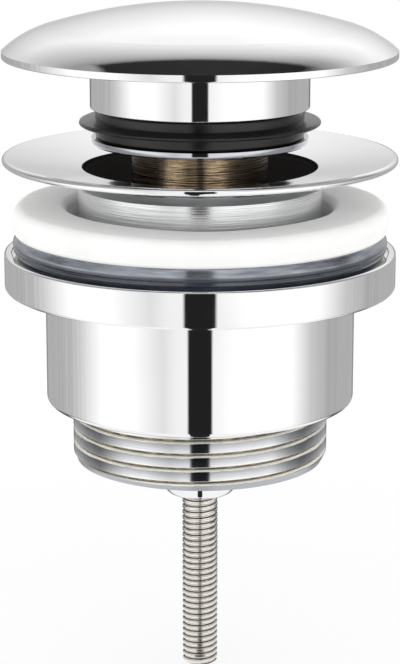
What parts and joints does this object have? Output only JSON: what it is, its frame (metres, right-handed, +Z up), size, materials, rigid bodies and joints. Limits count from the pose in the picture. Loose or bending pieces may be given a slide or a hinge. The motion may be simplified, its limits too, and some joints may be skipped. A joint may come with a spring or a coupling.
{
  "type": "pop up basin waste",
  "caption": "Push-to-latch basin waste with a domed plug, dished flange, gaskets, a screw-clamped body and a threaded outlet.",
  "frame": {"origin": "on the axis, level with the lower edge of the basin flange's rim", "axes": "+Z up along the axis, from the outlet to the plug; the latch inside is on the +Y side"},
  "size_m": [0.0638, 0.0638, 0.1114],
  "materials": {
    "chrome": "polished chrome plate on brass",
    "brass": "bare turned brass",
    "steel": "bare stainless steel",
    "black_rubber": "moulded rubber, satin",
    "polymer": "moulded acetal, matte",
    "white_foam": "closed-cell foam, matte",
    "clear_gasket": "clear soft plastic with a bluish tint"
  },
  "bodies": {
    "flange": {"basin_flange": "chrome", "cartridge_sleeve": "brass", "guide_bush": "polymer", "stem_o_ring": "black_rubber", "bush_clip": "steel", "return_spring": "steel", "screw_washer": "steel"},
    "plug": {"dome_cap": "chrome", "cap_washer": "polymer", "plug_skirt": "chrome", "lip_seal": "black_rubber", "lock_nut": "brass", "plunger_stem": "steel", "cam_block": "brass", "spring_washer": "steel", "stem_clip": "steel"},
    "latch": {"latch_hook": "steel"},
    "screw": {"tie_screw": "steel"},
    "clamp": {"waste_body": "chrome", "clear_gasket": "clear_gasket", "foam_gasket": "white_foam"}
  },
  "joints": [
    {"name": "plug_slide", "type": "slide", "parent": "flange", "child": "plug", "axis": [0, 0, 1], "range_m": [-0.0065, 0], "stiffness_N_per_m": 1500, "springref_m": 0.006, "deforming": ["return_spring"]},
    {"name": "latch_swing", "type": "hinge", "parent": "flange", "child": "latch", "pos_m": [0, 0.0082, -0.00207], "axis": [0, 1, 0], "range_deg": [-0.5, 20.5]},
    {"name": "clamp_slide", "type": "slide", "parent": "flange", "child": "clamp", "axis": [0, 0, 1], "range_m": [-0.03, 0.0041]},
    {"name": "tie_screw_turn", "type": "hinge", "parent": "flange", "child": "screw", "pos_m": [0, 0, -0.031], "axis": [0, 0, 1], "range_deg": [-1478, 10802]}
  ],
  "couplings": [
    {"joint": "latch_swing", "follows": "plug_slide", "rad_per_m": -52.7},
    {"joint": "tie_screw_turn", "follows": "clamp_slide", "rad_per_m": -6283.2}
  ]
}
